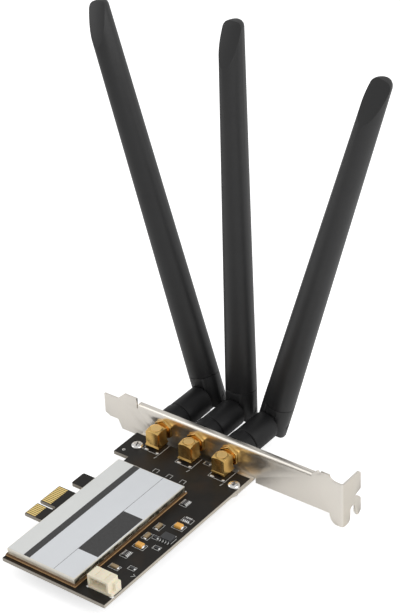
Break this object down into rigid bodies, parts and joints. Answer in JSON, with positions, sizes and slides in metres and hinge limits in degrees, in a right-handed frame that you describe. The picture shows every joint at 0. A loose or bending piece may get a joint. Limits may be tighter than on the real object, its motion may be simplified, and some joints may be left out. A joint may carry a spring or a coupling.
{
  "type": "wifi card",
  "caption": "Plug-in computer wireless network card: black circuit board with a shielded radio module, gold antenna connectors, a steel slot bracket and folding antennas.",
  "frame": {"origin": "component face of the board at the contact edge, on the centre line of the key notch", "axes": "+X up the bracket away from the contact edge, +Y out through the bracket towards the antennas, +Z away from the component side of the board"},
  "size_m": [0.1399, 0.1347, 0.1889],
  "materials": {
    "board_black": "satin black solder mask over glass laminate",
    "contact_gold": "polished gold plating",
    "bracket_steel": "satin nickel plated steel",
    "screw_steel": "bright plated steel",
    "module_laminate": "bare laminate edge",
    "shield_tin": "dull tin plated sheet",
    "label_film": "satin silver film with printed fields",
    "chip_black": "matte moulded package",
    "header_cream": "satin cream nylon",
    "lead_tin": "bright tin plating",
    "capacitor_orange": "satin moulded resin",
    "ceramic_tan": "matte fired ceramic",
    "array_grey": "matte fired ceramic",
    "connector_gold": "polished gold plated brass",
    "insulator_white": "satin fluoropolymer",
    "turned_brass": "machined brass",
    "antenna_black": "satin black moulded plastic",
    "radiator_copper": "dull drawn tube"
  },
  "bodies": {
    "card": {"pcb": "board_black", "edge_contacts": "contact_gold", "bracket": "bracket_steel", "bracket_screws": "screw_steel", "module_board": "module_laminate", "shield_fence": "shield_tin", "shield_lid": "shield_tin", "module_label": "label_film", "radio_chip": "chip_black", "amplifier_chips": "chip_black", "module_crystal": "shield_tin", "header_housing": "header_cream", "header_pins": "lead_tin", "supply_chip": "chip_black", "supply_chip_leads": "lead_tin", "tantalum_capacitors": "capacitor_orange", "ceramic_capacitors": "ceramic_tan", "chip_resistors": "chip_black", "resistor_arrays": "array_grey", "inner_nuts": "connector_gold", "lock_washers": "connector_gold", "outer_nuts": "connector_gold", "connector_caps": "connector_gold", "connector_body_left": "connector_gold", "connector_body_middle": "connector_gold", "connector_body_right": "connector_gold", "connector_insulator_left": "insulator_white", "connector_insulator_middle": "insulator_white", "connector_insulator_right": "insulator_white", "connector_pin_left": "contact_gold", "connector_pin_middle": "contact_gold", "connector_pin_right": "contact_gold", "coupling_nut_left": "turned_brass", "coupling_nut_middle": "turned_brass", "coupling_nut_right": "turned_brass", "coupling_sleeve_left": "antenna_black", "coupling_sleeve_middle": "antenna_black", "coupling_sleeve_right": "antenna_black"},
    "base_left": {"plug_left": "turned_brass", "contact_left": "contact_gold", "barrel_left": "antenna_black"},
    "arm_left": {"hinge_pin_left": "antenna_black", "knuckle_left": "antenna_black", "radiator_left": "radiator_copper", "blade_left": "antenna_black"},
    "base_middle": {"plug_middle": "turned_brass", "contact_middle": "contact_gold", "barrel_middle": "antenna_black"},
    "arm_middle": {"hinge_pin_middle": "antenna_black", "knuckle_middle": "antenna_black", "radiator_middle": "radiator_copper", "blade_middle": "antenna_black"},
    "base_right": {"plug_right": "turned_brass", "contact_right": "contact_gold", "barrel_right": "antenna_black"},
    "arm_right": {"hinge_pin_right": "antenna_black", "knuckle_right": "antenna_black", "radiator_right": "radiator_copper", "blade_right": "antenna_black"}
  },
  "joints": [
    {"name": "swivel_left", "type": "hinge", "parent": "card", "child": "base_left", "pos_m": [0.0163, 0.0712, 0.0052], "axis": [0, 1, 0], "range_deg": [-164, 16]},
    {"name": "tilt_left", "type": "hinge", "parent": "base_left", "child": "arm_left", "pos_m": [0.0163, 0.0936, 0.0052], "axis": [0.9613, 0, 0.2756], "range_deg": [-90, 0]},
    {"name": "swivel_middle", "type": "hinge", "parent": "card", "child": "base_middle", "pos_m": [0.0331, 0.0712, 0.0052], "axis": [0, 1, 0], "range_deg": [-12, 13]},
    {"name": "tilt_middle", "type": "hinge", "parent": "base_middle", "child": "arm_middle", "pos_m": [0.0331, 0.0936, 0.0052], "axis": [1, 0, -0.0087], "range_deg": [-90, 0]},
    {"name": "swivel_right", "type": "hinge", "parent": "card", "child": "base_right", "pos_m": [0.0499, 0.0712, 0.0052], "axis": [0, 1, 0], "range_deg": [-13, 162]},
    {"name": "tilt_right", "type": "hinge", "parent": "base_right", "child": "arm_right", "pos_m": [0.0499, 0.0936, 0.0052], "axis": [0.9563, 0, -0.2924], "range_deg": [-90, 0]}
  ]
}
